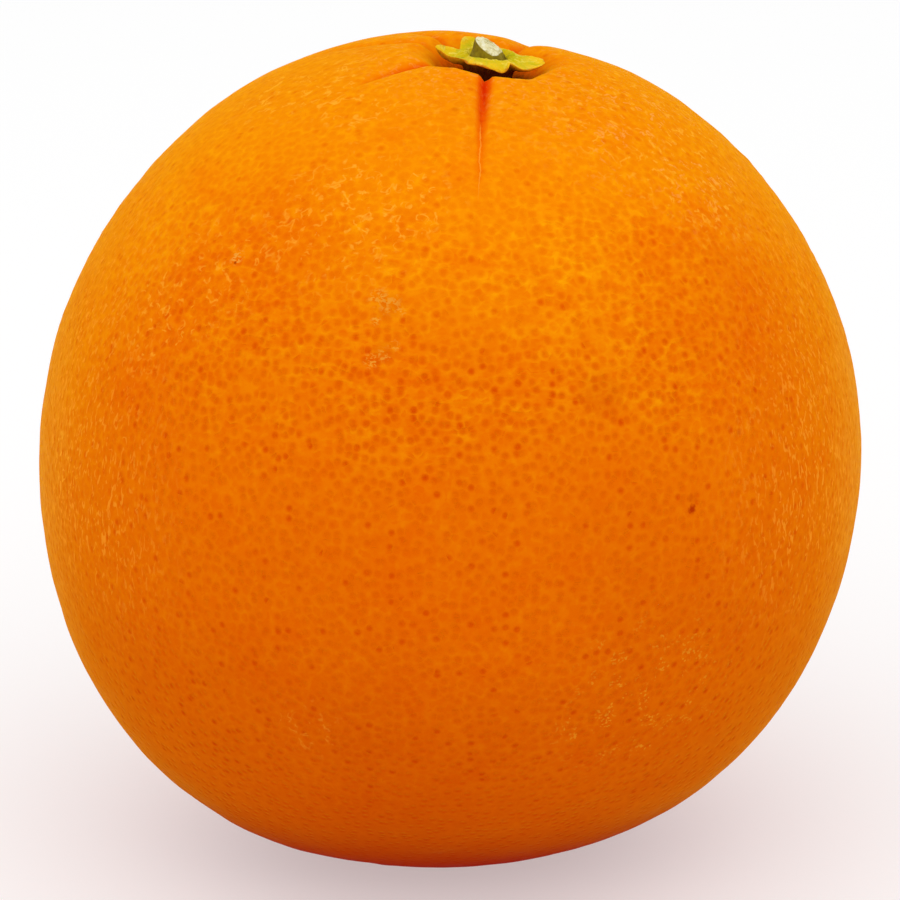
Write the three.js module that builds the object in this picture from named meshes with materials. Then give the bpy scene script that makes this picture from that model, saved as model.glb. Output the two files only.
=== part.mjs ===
// A whole sweet orange as picked: the fruit, its five-lobed calyx and a short stub of stem.
// Millimetres, +Z up. The origin is the centre of the flat spot that the fruit rests on.

import * as THREE from "three";
import { ConvexHull } from "three/addons/math/ConvexHull.js";
import { mergeVertices } from "three/addons/utils/BufferGeometryUtils.js";

// ---------------------------------------------------------------- driving dimensions

const FRUIT_RADIUS = 39.8; // the round body, before its swellings
const REST_HEIGHT = 39.7; // from the flat spot up to the centre of the body
const STEM_LEAN = 5.4; // degrees from upright, towards +X
const CLEARANCE = 0.3; // between two pieces that touch

// Broad swellings of the body: direction in degrees, rise in mm, spread in degrees.
const SWELLINGS = [
  { azimuth: 0, elevation: 84, rise: 1.2, spread: 38 }, // the stem end
  { azimuth: 52, elevation: 69, rise: -0.6, spread: 11 },
  { azimuth: 25, elevation: 50, rise: 0.3, spread: 15 },
  { azimuth: 298, elevation: 76, rise: -0.75, spread: 13 },
  { azimuth: 190, elevation: 73, rise: -0.4, spread: 13 },
  { azimuth: 210, elevation: -50, rise: 2.2, spread: 29 },
  { azimuth: 335, elevation: -48, rise: 1.2, spread: 29 },
  { azimuth: 95, elevation: -30, rise: 0.8, spread: 34 },
  { azimuth: 270, elevation: 5, rise: 0.5, spread: 40 },
  { azimuth: 5, elevation: 20, rise: 0.2, spread: 30 },
];

// The blossom end, where the fruit rests: a plain round cap, so that the flat spot is round.
const BLOSSOM_RISE = 0.7;
const BLOSSOM_SPREAD = [12, 33]; // degrees from straight down: where the cap ends and blends in

// The dimple that the calyx sits in: a flat floor for its neck, a steep well round that,
// and a gentle fall of the shoulder towards it.
const FLOOR_RADIUS = 2.7;
const WELL_RADIUS = 7.4;
const WELL_DEPTH = 3.4;
const FALL_DEPTH = 0.7;
const FALL_REACH = 4.0;

// Creases run from the dimple down over the shoulder. Azimuth in degrees round the stem,
// sway in degrees over the whole length, the rest in mm.
const CREASES = [
  { azimuth: 266, length: 25, depth: 2.1, width: 3.0, sway: 3.5 },
  { azimuth: 212, length: 17, depth: 2.4, width: 3.4, sway: -1 },
  { azimuth: 157, length: 19, depth: 1.7, width: 3.2, sway: 4 },
  { azimuth: 131, length: 14, depth: 1.6, width: 2.8, sway: 3 },
  { azimuth: 66, length: 22, depth: 2.4, width: 3.6, sway: 3 },
  { azimuth: 328, length: 15, depth: 1.8, width: 3.0, sway: 3 },
];
const CREASE_ONSET = 9; // distance from the stem by which a crease has opened fully
const CREASE_FADE = 1.5; // how soon it shallows towards its end, from 1, evenly
const CREASE_TAPER = 0.5; // share of its width that a crease has left where it ends
const CREASE_PINCH = 0.92; // from 0, a soft valley, towards 1, a sharp fold

// Pores of the rind, larger than life so that a light solid can hold them.
const PORE_PITCH = 4.2;
const PORE_DEPTH = 0.2;
const PORE_JITTER = 0.18; // share of the pitch
const PORE_START = 8; // mm over the skin from the middle of the flat spot, where they begin
const PORE_FULL = 12; // and where they have their full depth

// The calyx: a neck in the dimple and five sepals round the foot of the stem.
const NECK_RADIUS = 2.2;
const NECK_BEVEL = 0.2; // round its foot
const BLADE_ROOT = 2.4; // radius at which the sepals leave the neck
const CALYX_LEVEL = 39.5; // its upper side at the stem, above the centre of the body
const CALYX_THICKNESS = 0.95; // of a sepal at its root
const SEPAL_EDGE = 0.6; // thickness of a sepal at its tip
const NOTCH_RADIUS = 3.2; // where two sepals meet
// Azimuth in degrees, reach and rise of the tip in mm, arch of the blade in mm, how much
// higher the side towards greater azimuths is in mm, and how pointed the tip is, from 0,
// round, to 1.
const SEPALS = [
  { azimuth: 347, reach: 5.5, rise: 0.7, arch: -0.3, tilt: 0.3, point: 0.45 },
  { azimuth: 62, reach: 4.1, rise: -0.1, arch: 0.1, tilt: 0, point: 0.5 },
  { azimuth: 126, reach: 3.9, rise: 1.4, arch: -0.2, tilt: 0, point: 0.6 },
  { azimuth: 180, reach: 5.4, rise: 1.1, arch: -0.5, tilt: -0.2, point: 0.9 },
  { azimuth: 267, reach: 4.8, rise: -0.2, arch: 0.3, tilt: -0.3, point: 0.05 },
];

// The stub of stem, cut slantwise, with its root in a socket in the calyx.
const STUB_ROOT_RADIUS = 1.4;
const STUB_ROOT_DEPTH = 0.8;
const STUB_FOOT_RADIUS = 1.8;
const STUB_WAIST_RADIUS = 1.65;
const STUB_TOP_RADIUS = 1.6;
const STUB_HEIGHT = 1.4; // above the calyx, at the middle of the cut
const CUT_SLANT = 17; // degrees
const CUT_AZIMUTH = 5; // the way that the cut faces

// How finely the solids are divided.
const SHOULDER_REACH = 16; // the finer skin round the stem, which has no pores
const SHOULDER_PITCH = 1.15;
const RIND_GAP = 0.7; // least distances between two points of the skin
const SHOULDER_GAP = 0.55;
const CREASE_GAP = 0.4;
const CREASE_STEP = 0.7; // mm along a crease
const CREASE_ROWS = [0, 0.2, -0.2, 0.5, -0.5]; // across it, as shares of its width
const RIM_POINTS = 48; // round the flat spot
const SEPAL_COLUMNS = 110; // round the calyx
const BLADE_STEPS = [0, 0.25, 0.5, 0.75, 0.92]; // from a sepal's root to its edge
const STUB_COLUMNS = 32;

const RIND_COLOUR = 0xf08a05;
const CALYX_COLOUR = 0xc9b81c;
const STUB_COLOUR = 0x9a9a62;

const GOLDEN_ANGLE = Math.PI * (3 - Math.sqrt(5));
const HEXAGON_SHARE = Math.sqrt(3) / 2; // a point's share of an even scatter, over pitch squared
const UP = new THREE.Vector3(0, 0, 1);
const DOWN = new THREE.Vector3(0, 0, -1);

const radians = THREE.MathUtils.degToRad;
const { lerp, clamp, smoothstep } = THREE.MathUtils;

// ---------------------------------------------------------------- helpers

// One closed mesh, in which every vertex is there once.
function closed(geometry) {
  const bare = geometry.clone();
  bare.deleteAttribute("normal");
  bare.deleteAttribute("uv");
  const merged = mergeVertices(bare);
  merged.computeVertexNormals();
  return merged;
}

function part(name, geometry, color, roughness) {
  const mesh = new THREE.Mesh(
    geometry,
    new THREE.MeshStandardMaterial({ color, roughness, metalness: 0 }),
  );
  mesh.name = name;
  return mesh;
}

// Repeatable random numbers from 0 to 1.
function randomFrom(seed) {
  let state = seed;
  return () => {
    state = (state + 0x6d2b79f5) | 0;
    let t = Math.imul(state ^ (state >>> 15), 1 | state);
    t = (t + Math.imul(t ^ (t >>> 7), 61 | t)) ^ t;
    return ((t ^ (t >>> 14)) >>> 0) / 4294967296;
  };
}

function direction(azimuth, elevation) {
  const a = radians(azimuth);
  const e = radians(elevation);
  return new THREE.Vector3(
    Math.cos(e) * Math.cos(a),
    Math.cos(e) * Math.sin(a),
    Math.sin(e),
  );
}

// ---------------------------------------------------------------- the form of the fruit

const stemTurn = new THREE.Quaternion().setFromAxisAngle(
  new THREE.Vector3(0, 1, 0),
  radians(STEM_LEAN),
);
const stemUnturn = stemTurn.clone().invert();
const swellings = SWELLINGS.map((s) => ({ ...s, towards: direction(s.azimuth, s.elevation) }));

// Where a direction meets the body, as the distance over the skin from the stem and the
// azimuth round it.
function stemPlace(towards) {
  const local = towards.clone().applyQuaternion(stemUnturn);
  return {
    distance: FRUIT_RADIUS * local.angleTo(UP),
    azimuth: Math.atan2(local.y, local.x),
  };
}

// The direction of a place given that way.
function stemDirection(distance, azimuth) {
  const angle = distance / FRUIT_RADIUS;
  return new THREE.Vector3(
    Math.sin(angle) * Math.cos(azimuth),
    Math.sin(angle) * Math.sin(azimuth),
    Math.cos(angle),
  ).applyQuaternion(stemTurn);
}

function creaseAzimuth(crease, distance) {
  return radians(crease.azimuth + (crease.sway * distance) / crease.length);
}

function creaseWidth(crease, distance) {
  return crease.width * lerp(1, CREASE_TAPER, clamp(distance / crease.length, 0, 1));
}

// Two round flanks that meet in a fold: 1 on the line of the crease, 0 at its width.
function foldDepth(share) {
  if (share >= 1) return 0;
  const drop = 1 - Math.sqrt(1 - CREASE_PINCH * (1 - share) ** 2);
  return drop / (1 - Math.sqrt(1 - CREASE_PINCH));
}

function creaseDepth(crease, { distance, azimuth }) {
  if (distance >= crease.length) return 0;
  const turn = azimuth - creaseAzimuth(crease, distance);
  if (Math.cos(turn) <= 0) return 0;
  const aside = Math.abs(distance * Math.sin(turn));
  const onset = smoothstep(distance, FLOOR_RADIUS, CREASE_ONSET);
  const along = onset * (1 - distance / crease.length) ** CREASE_FADE;
  return crease.depth * along * foldDepth(aside / creaseWidth(crease, distance));
}

function dimpleDepth(distance) {
  const beyond = Math.max(0, distance - FLOOR_RADIUS);
  const well = 1 - smoothstep(distance, FLOOR_RADIUS, WELL_RADIUS);
  return WELL_DEPTH * well + FALL_DEPTH * Math.exp(-((beyond / FALL_REACH) ** 2));
}

// Distance of the skin from the centre of the body, without its pores.
function skinRadius(towards) {
  const degreesTo = (other) => THREE.MathUtils.radToDeg(towards.angleTo(other));
  const rises = swellings.map((s) => s.rise * Math.exp(-((degreesTo(s.towards) / s.spread) ** 2)));
  const rise = rises.reduce((sum, r) => sum + r, 0);
  const beyondCap = smoothstep(degreesTo(DOWN), ...BLOSSOM_SPREAD);
  const body = FRUIT_RADIUS + lerp(BLOSSOM_RISE, rise, beyondCap);
  const place = stemPlace(towards);
  const folds = CREASES.map((c) => creaseDepth(c, place));
  return body - dimpleDepth(place.distance) - Math.max(...folds);
}

// ---------------------------------------------------------------- points for the skin

// An even scatter over the unit sphere, along a golden-angle spiral.
function spiralDirections(pitch) {
  const area = 4 * Math.PI * FRUIT_RADIUS ** 2;
  const count = Math.round(area / (HEXAGON_SHARE * pitch ** 2));
  return Array.from({ length: count }, (_, i) => {
    const z = 1 - (2 * i + 1) / count;
    const across = Math.sqrt(1 - z * z);
    const turn = i * GOLDEN_ANGLE;
    return new THREE.Vector3(across * Math.cos(turn), across * Math.sin(turn), z);
  });
}

function jittered(directions, amount, random) {
  const share = amount / FRUIT_RADIUS;
  return directions.map((d) =>
    new THREE.Vector3(random() - 0.5, random() - 0.5, random() - 0.5)
      .multiplyScalar(2 * share)
      .add(d)
      .normalize(),
  );
}

// The triangles between directions, as those of their convex hull.
function hullTriangles(directions) {
  const hull = new ConvexHull().setFromPoints(directions);
  return hull.faces.map((face) => {
    const corners = [];
    let edge = face.edge;
    do {
      corners.push(edge.head().point);
      edge = edge.next;
    } while (edge !== face.edge);
    return corners;
  });
}

// The land between pores: the middle of each triangle of three neighbours.
function landDirections(pores) {
  return hullTriangles(pores).map((corners) =>
    corners.reduce((sum, c) => sum.add(c), new THREE.Vector3()).normalize(),
  );
}

function shoulderDirections() {
  const count = Math.round(
    (Math.PI * SHOULDER_REACH ** 2) / (HEXAGON_SHARE * SHOULDER_PITCH ** 2),
  );
  return Array.from({ length: count }, (_, i) =>
    stemDirection(SHOULDER_REACH * Math.sqrt((i + 0.5) / count), i * GOLDEN_ANGLE),
  );
}

// Lines of points on each crease and on both its flanks, so that the fold comes out sharp.
// The lines of the folds come first and the flanks give way to them.
function creaseDirections() {
  const found = [];
  for (const share of CREASE_ROWS) {
    for (const crease of CREASES) {
      for (let distance = FLOOR_RADIUS; distance < crease.length; distance += CREASE_STEP) {
        const aside = (share * creaseWidth(crease, distance)) / distance;
        const point = stemDirection(distance, creaseAzimuth(crease, distance) + aside);
        found.push(...keepClear([point], found, CREASE_GAP));
      }
    }
  }
  return found;
}

// The rim of the flat spot: on each azimuth, the elevation where the skin dips under it.
function rimDirections() {
  return Array.from({ length: RIM_POINTS }, (_, i) => {
    const azimuth = (360 * i) / RIM_POINTS;
    let [inside, outside] = [-89, -55];
    for (let halving = 0; halving < 24; halving++) {
      const middle = (inside + outside) / 2;
      const d = direction(azimuth, middle);
      if (-d.z * skinRadius(d) > REST_HEIGHT) inside = middle;
      else outside = middle;
    }
    return direction(azimuth, (inside + outside) / 2);
  });
}

function keepClear(directions, of, gap) {
  const nearest = Math.cos(gap / FRUIT_RADIUS);
  return directions.filter((d) => of.every((other) => d.dot(other) < nearest));
}

// ---------------------------------------------------------------- the fruit

function fruitGeometry() {
  const pores = jittered(
    spiralDirections(PORE_PITCH),
    PORE_JITTER * PORE_PITCH,
    randomFrom(7),
  );
  const lands = landDirections(pores);
  const isPore = new Set(pores);
  const creases = creaseDirections();
  const shoulder = keepClear(shoulderDirections(), creases, SHOULDER_GAP);
  const rim = rimDirections();
  const beyondShoulder = (d) => stemPlace(d).distance > SHOULDER_REACH;
  const far = [...pores, ...lands].filter(beyondShoulder);
  const rind = keepClear(far, [...creases, ...rim], RIND_GAP);

  const place = (d) => {
    const fromSpot = FRUIT_RADIUS * d.angleTo(DOWN);
    const depth = PORE_DEPTH * smoothstep(fromSpot, PORE_START, PORE_FULL);
    const skin = skinRadius(d) - (isPore.has(d) ? depth : 0);
    const tableDistance = d.z < 0 ? -REST_HEIGHT / d.z : Infinity;
    return d.clone().multiplyScalar(Math.min(skin, tableDistance));
  };
  const corners = hullTriangles([...rind, ...shoulder, ...creases, ...rim]).flat();
  const skin = new THREE.BufferGeometry().setFromPoints(corners.map(place));
  return closed(skin.translate(0, 0, REST_HEIGHT));
}

// ---------------------------------------------------------------- the calyx

// Which sepal an azimuth falls in, and where across it, from -1 to 1.
function sepalPlace(azimuth) {
  const degrees = THREE.MathUtils.euclideanModulo(THREE.MathUtils.radToDeg(azimuth), 360);
  const turnTo = (s) => THREE.MathUtils.euclideanModulo(degrees - s.azimuth + 180, 360) - 180;
  const byNearness = [...SEPALS].sort((a, b) => Math.abs(turnTo(a)) - Math.abs(turnTo(b)));
  const [own, next] = byNearness;
  const near = turnTo(own);
  const far = Math.abs(turnTo(next));
  return { sepal: own, across: (2 * near) / (Math.abs(near) + far) };
}

// The middle of the blade at an azimuth, from its root at 0 to its edge at 1.
function bladePoint(azimuth, step) {
  const { sepal, across } = sepalPlace(azimuth);
  const round = Math.cos((across * Math.PI) / 2) ** 0.8;
  const pointed = (1 - Math.abs(across)) ** 1.1;
  const outline = lerp(round, pointed, sepal.point);
  const reach = lerp(NOTCH_RADIUS, sepal.reach, outline);
  const middle = 1 - across ** 2;
  const rise =
    middle * (sepal.rise * step ** 1.7 + sepal.arch * Math.sin(Math.PI * step)) +
    sepal.tilt * Math.sin(Math.PI * across) * step;
  return {
    radius: lerp(BLADE_ROOT, reach, step),
    height: rise,
    thickness: lerp(CALYX_THICKNESS, SEPAL_EDGE, step),
  };
}

function calyxGeometry() {
  const floor = skinRadius(stemDirection(0, 0)) + CLEARANCE;
  const socket = STUB_ROOT_RADIUS + CLEARANCE;
  const under = BLADE_STEPS.map((step) => ({ step, side: -1 }));
  const over = [...BLADE_STEPS].reverse().map((step) => ({ step, side: 1 }));
  // The outline from the foot of the neck, out under the blade, back over it and into
  // the socket: fixed points as radius and height, the rest as places on the blade.
  const outline = [
    { radius: 0, height: floor - CALYX_LEVEL },
    { radius: NECK_RADIUS - NECK_BEVEL, height: floor - CALYX_LEVEL },
    { radius: NECK_RADIUS, height: floor - CALYX_LEVEL + NECK_BEVEL },
    ...under,
    { step: 1, side: 0 },
    ...over,
    { radius: socket, height: 0 },
    { radius: socket, height: -STUB_ROOT_DEPTH - CLEARANCE },
    { radius: 0, height: -STUB_ROOT_DEPTH - CLEARANCE },
  ];
  const flat = outline.map((p) => new THREE.Vector2(p.radius ?? 1, 0));
  const lathe = new THREE.LatheGeometry(flat, SEPAL_COLUMNS).rotateX(Math.PI / 2);
  const position = lathe.attributes.position;
  for (let i = 0; i < position.count; i++) {
    const azimuth = ((i / outline.length) | 0) * ((2 * Math.PI) / SEPAL_COLUMNS);
    const p = outline[i % outline.length];
    let { radius, height } = p;
    if (p.step !== undefined) {
      const blade = bladePoint(azimuth, p.step);
      radius = blade.radius;
      height = blade.height - CALYX_THICKNESS / 2 + (p.side * blade.thickness) / 2;
    }
    position.setXYZ(i, radius * Math.cos(azimuth), radius * Math.sin(azimuth), height);
  }
  return closed(lathe);
}

// ---------------------------------------------------------------- the stub of stem

function stubGeometry() {
  // Radius and height from the foot of the root to the middle of the cut.
  const profile = [
    [0, -STUB_ROOT_DEPTH],
    [STUB_ROOT_RADIUS, -STUB_ROOT_DEPTH],
    [STUB_ROOT_RADIUS, CLEARANCE],
    [STUB_FOOT_RADIUS, CLEARANCE],
    [STUB_WAIST_RADIUS, STUB_HEIGHT * 0.45],
    [STUB_WAIST_RADIUS, STUB_HEIGHT * 0.65],
    [STUB_TOP_RADIUS, STUB_HEIGHT * 0.86],
    [STUB_TOP_RADIUS * 0.93, STUB_HEIGHT * 0.97],
    [STUB_TOP_RADIUS * 0.55, STUB_HEIGHT],
    [0, STUB_HEIGHT * 0.97],
  ].map(([radius, height]) => new THREE.Vector2(radius, height));
  const lathe = new THREE.LatheGeometry(profile, STUB_COLUMNS).rotateX(Math.PI / 2);
  const facing = radians(CUT_AZIMUTH);
  const slope = Math.tan(radians(CUT_SLANT));
  const position = lathe.attributes.position;
  for (let i = 0; i < position.count; i++) {
    const x = position.getX(i);
    const y = position.getY(i);
    const z = position.getZ(i);
    const towards = x * Math.cos(facing) + y * Math.sin(facing);
    const share = smoothstep(z, CLEARANCE, STUB_HEIGHT);
    position.setZ(i, z - towards * slope * share);
  }
  return closed(lathe);
}

// ---------------------------------------------------------------- the orange

const orange = new THREE.Group();
orange.add(part("fruit", fruitGeometry(), RIND_COLOUR, 0.45));

const stemEnd = new THREE.Group();
stemEnd.position.set(0, 0, REST_HEIGHT);
stemEnd.quaternion.copy(stemTurn);
const stemSeat = new THREE.Group();
stemSeat.position.set(0, 0, CALYX_LEVEL);
stemSeat.add(part("calyx", calyxGeometry(), CALYX_COLOUR, 0.7));
stemSeat.add(part("stem_stub", stubGeometry(), STUB_COLOUR, 0.9));
stemEnd.add(stemSeat);
orange.add(stemEnd);

export default orange;
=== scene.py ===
"""A whole sweet orange: its pitted rind, its five-lobed calyx and its cut stub of stem.

Metres, +Z up. The origin is the centre of the flat spot that the fruit rests on.
"""

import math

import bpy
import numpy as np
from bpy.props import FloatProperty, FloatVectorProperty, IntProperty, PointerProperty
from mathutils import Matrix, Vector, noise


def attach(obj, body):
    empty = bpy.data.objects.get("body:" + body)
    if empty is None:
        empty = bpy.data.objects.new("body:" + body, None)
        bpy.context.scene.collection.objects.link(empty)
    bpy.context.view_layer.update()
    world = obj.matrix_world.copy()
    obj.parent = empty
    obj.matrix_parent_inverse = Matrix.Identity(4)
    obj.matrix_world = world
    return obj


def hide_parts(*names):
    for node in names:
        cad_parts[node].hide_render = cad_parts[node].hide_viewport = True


bl_info = {
    "name": "Whole orange",
    "version": (1, 0, 0),
    "blender": (4, 5, 0),
    "location": "3D View > Sidebar > Orange",
    "description": "Models a whole orange with its calyx and stem, on a plain stage",
    "category": "Add Mesh",
}

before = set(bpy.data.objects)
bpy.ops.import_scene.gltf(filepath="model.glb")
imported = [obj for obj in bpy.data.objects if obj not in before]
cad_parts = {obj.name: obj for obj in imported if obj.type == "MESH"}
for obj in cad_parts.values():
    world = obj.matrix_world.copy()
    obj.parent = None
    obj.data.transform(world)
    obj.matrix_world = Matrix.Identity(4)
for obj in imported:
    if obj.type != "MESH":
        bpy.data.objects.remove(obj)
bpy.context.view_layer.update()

MM = 0.001

# ---------------------------------------------------------------- the fruit's own frame

BODY_RADIUS = 39.8 * MM
BODY_CENTRE = Vector((0, 0, 39.7 * MM))


def middle_of(node):
    """Mean place of a CAD node's vertices."""
    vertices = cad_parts[node].data.vertices
    return sum((vertex.co for vertex in vertices), Vector()) / len(vertices)


STEM_AXIS = (middle_of("stem_stub") - BODY_CENTRE).normalized()
STEM_TURN = Vector((0, 0, 1)).rotation_difference(STEM_AXIS).to_matrix()

# Creases that run from the dimple down over the shoulder: azimuth round the stem and sway
# over the whole length in degrees, length, width and how far its sides close up in mm, and
# how red its painted shade is and how sharp it is, from 0 to 1.
CREASES = [
    {"azimuth": 266, "length": 30, "width": 3.0, "sway": 3.5, "closing": 0.85, "red_shade": 1.0,
     "sharpness": 1.0},
    {"azimuth": 212, "length": 17, "width": 3.4, "sway": -1, "closing": 0.2, "red_shade": 0.85,
     "sharpness": 0.7},
    {"azimuth": 157, "length": 19, "width": 3.2, "sway": 4, "closing": 0.4, "red_shade": 0.4,
     "sharpness": 0.2},
    {"azimuth": 131, "length": 14, "width": 2.8, "sway": 3, "closing": 0, "red_shade": 0.6,
     "sharpness": 0.6},
    {"azimuth": 66, "length": 22, "width": 3.6, "sway": 3, "closing": 0, "red_shade": 0.6,
     "sharpness": 0.6},
    {"azimuth": 328, "length": 15, "width": 3.0, "sway": 3, "closing": 0.5, "red_shade": 0.3,
     "sharpness": 0.0},
]
FRONT_CREASE = CREASES[0]


def on_rind(azimuth, elevation, reach, **more):
    """A place on the rind, seen from the centre of the body in degrees, and the reach round
    it in mm.
    """
    return {"azimuth": azimuth, "elevation": elevation, "reach": reach, **more}


# Spots and blushes: the tint is a share of the skin's own red, green and blue.
MARKS = [
    # A brown scar with a pale brown rim, and small spots.
    on_rind(303.8, 8.1, 0.55, tint=(0.6, 0.22, 0.5), strength=1.0),
    on_rind(303.7, 9.6, 0.5, tint=(0.8, 0.6, 0.8), strength=0.8),
    on_rind(292, 24.8, 2.6, tint=(0.86, 0.74, 0.8), strength=0.5),
    on_rind(313.7, 16.5, 0.4, tint=(0.8, 0.6, 0.6), strength=0.6),
    on_rind(272.2, 70.4, 0.6, tint=(0.78, 0.55, 0.6), strength=0.8),
    on_rind(309.5, -38.3, 0.8, tint=(0.75, 0.55, 0.6), strength=0.7),
    on_rind(260, 37.6, 1.6, tint=(0.86, 0.72, 0.8), strength=0.5),
    on_rind(260, 31.3, 1.4, tint=(0.86, 0.72, 0.8), strength=0.5),
    # Wide soft blushes of red.
    on_rind(232, 43, 11, tint=(0.98, 0.84, 0.7), strength=1.0),
    on_rind(220, 26, 10, tint=(0.98, 0.86, 0.7), strength=0.9),
    on_rind(318, 34, 13, tint=(0.98, 0.84, 0.7), strength=0.9),
    on_rind(80, 30, 12, tint=(0.98, 0.86, 0.7), strength=0.8),
    # A black speck in a scratch.
    on_rind(229.6, 40.7, 0.22, tint=(0.5, 0.3, 0.5), strength=1.0),
]
# Patches of pale curls round the pores: partly dried wax, partly painted glints of light on their
# rims.
WAXED_AND_GLINTING = [
    on_rind(247, 50, 9),
    on_rind(263.5, 53.5, 4),
    on_rind(231, 70, 5),
    on_rind(226, 39, 7),
    on_rind(219, 30, 6),
    on_rind(190, 68, 8),
    on_rind(334, 60, 11),
    on_rind(331, 48, 8),
    on_rind(352, 60, 9),
    on_rind(204, 6, 4),
    on_rind(250, -22, 4),
    on_rind(70, -20, 8),
    on_rind(110, 38, 10),
    on_rind(160, 15, 8),
]
# Low swells of the skin, with their height in mm.
SWELLS = [
    on_rind(147, 57, 11, height=0.5),
    on_rind(190, -26, 14, height=0.55),
]
# Patches of fine dry scratches.
TAN = (0.86, 0.34, 0.028)
SCRATCHED = [
    on_rind(258.2, 38.6, 1.1, colour=TAN),
    on_rind(260.2, 37.8, 1.2, colour=TAN),
    on_rind(262, 37, 0.7, colour=TAN),
    on_rind(258.1, 35.6, 0.6, colour=TAN),
    on_rind(258.1, 30.1, 0.8, colour=TAN),
    on_rind(260.1, 31, 0.8, colour=TAN),
    on_rind(261.5, 32.3, 0.7, colour=TAN),
    on_rind(298, -17.5, 11, colour=(0.76, 0.28, 0.015)),
    on_rind(229.6, 41.5, 0.9, colour=(0.9, 0.42, 0.06)),
    on_rind(60, 20, 1.6, colour=(0.84, 0.36, 0.03)),
    on_rind(140, -12, 1.6, colour=(0.8, 0.32, 0.03)),
]
# The shoulder where wax was rubbed into streaks.
SMEARED = on_rind(338, 60, 17)


# ---------------------------------------------------------------- settings

class RindSettings(bpy.types.PropertyGroup):
    # The three colours darken downwards: partly the rind's own hue, partly painted shade.
    upper_colour: FloatVectorProperty(
        name="Upper colour",
        description="Colour of the rind round the stem end",
        default=(0.905, 0.240, 0.0008), subtype="COLOR", min=0, max=1,
    )
    middle_colour: FloatVectorProperty(
        name="Middle colour",
        description="Colour of the rind half way up",
        default=(0.765, 0.133, 0.0004), subtype="COLOR", min=0, max=1,
    )
    lower_colour: FloatVectorProperty(
        name="Lower colour",
        description="Colour of the rind round the blossom end",
        default=(0.55, 0.052, 0.0003), subtype="COLOR", min=0, max=1,
    )
    pore_pitch: FloatProperty(
        name="Pore pitch",
        description="Distance from one pore of the rind to the next",
        default=1.03 * MM, min=0.5 * MM, max=3 * MM, unit="LENGTH",
    )
    pore_depth: FloatProperty(
        name="Pore depth",
        description="Depth of the deepest pores",
        default=0.07 * MM, min=0, max=0.4 * MM, unit="LENGTH",
    )
    ball_levels: IntProperty(
        name="Fineness",
        description="Subdivisions of the rind's mesh",
        default=7, min=4, max=7,
    )


class CalyxSettings(bpy.types.PropertyGroup):
    blade_colour: FloatVectorProperty(
        name="Blade colour",
        description="Colour of the sepals near the stem",
        default=(0.66, 0.50, 0.003), subtype="COLOR", min=0, max=1,
    )
    tip_colour: FloatVectorProperty(
        name="Tip colour",
        description="Colour of the sepals towards their tips",
        default=(0.90, 0.56, 0.006), subtype="COLOR", min=0, max=1,
    )
    edge_colour: FloatVectorProperty(
        name="Edge colour",
        description="Colour of the dry edges of the sepals",
        default=(0.62, 0.20, 0.003), subtype="COLOR", min=0, max=1,
    )
    edge_share: FloatProperty(
        name="Edge thinning",
        description="Share of the solid's thickness that the sepals keep at their edge",
        default=0.35, min=0.2, max=1,
    )


class StubSettings(bpy.types.PropertyGroup):
    bark_colour: FloatVectorProperty(
        name="Bark colour",
        description="Colour of the stem's flank",
        default=(0.20, 0.140, 0.002), subtype="COLOR", min=0, max=1,
    )
    cut_colour: FloatVectorProperty(
        name="Cut colour",
        description="Colour of the dry cut end",
        default=(0.82, 0.76, 0.44), subtype="COLOR", min=0, max=1,
    )
    sink: FloatProperty(
        name="Sink",
        description="How far the foot of the stem sinks into the calyx",
        default=0.45 * MM, min=0, max=1 * MM, unit="LENGTH",
    )


class StageSettings(bpy.types.PropertyGroup):
    floor_width: FloatProperty(
        name="Floor width",
        description="Width of the pale floor",
        default=6.0, min=1, max=20, unit="LENGTH",
    )
    floor_colour: FloatVectorProperty(
        name="Floor colour",
        description="Colour of the pale floor",
        default=(0.60, 0.60, 0.60), subtype="COLOR", min=0, max=1,
    )
    camera_distance: FloatProperty(
        name="Camera distance",
        description="From the camera to the centre of the fruit",
        default=0.5, min=0.2, max=5, unit="LENGTH",
    )
    camera_elevation: FloatProperty(
        name="Camera elevation",
        description="Angle of the camera above the horizon",
        default=math.radians(19), min=0, max=math.radians(89), unit="ROTATION",
    )
    camera_lens: FloatProperty(
        name="Focal length",
        description="Focal length of the camera",
        default=205.97, min=10, max=500, unit="CAMERA",
    )
    sky_strength: FloatProperty(
        name="Surround strength",
        description="Light that comes evenly from all sides",
        default=0.88, min=0, max=5,
    )
    lamp_power: FloatProperty(
        name="Lamp power",
        description="Power of the soft lamp above the camera",
        default=2.6, min=0, max=1000, unit="POWER",
    )


# ---------------------------------------------------------------- node trees as expressions

class Signal:
    """One output of a node. Arithmetic on it adds Math nodes to its tree."""

    def __init__(self, recipe, socket):
        self.recipe = recipe
        self.socket = socket

    def output(self, name):
        """Another output of the same node."""
        return Signal(self.recipe, self.socket.node.outputs[name])

    def __add__(self, other):
        return self.recipe.math("ADD", self, other)

    def __radd__(self, other):
        return self.recipe.math("ADD", other, self)

    def __sub__(self, other):
        return self.recipe.math("SUBTRACT", self, other)

    def __rsub__(self, other):
        return self.recipe.math("SUBTRACT", other, self)

    def __mul__(self, other):
        return self.recipe.math("MULTIPLY", self, other)

    def __rmul__(self, other):
        return self.recipe.math("MULTIPLY", other, self)

    def __abs__(self):
        return self.recipe.math("ABSOLUTE", self)


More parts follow.
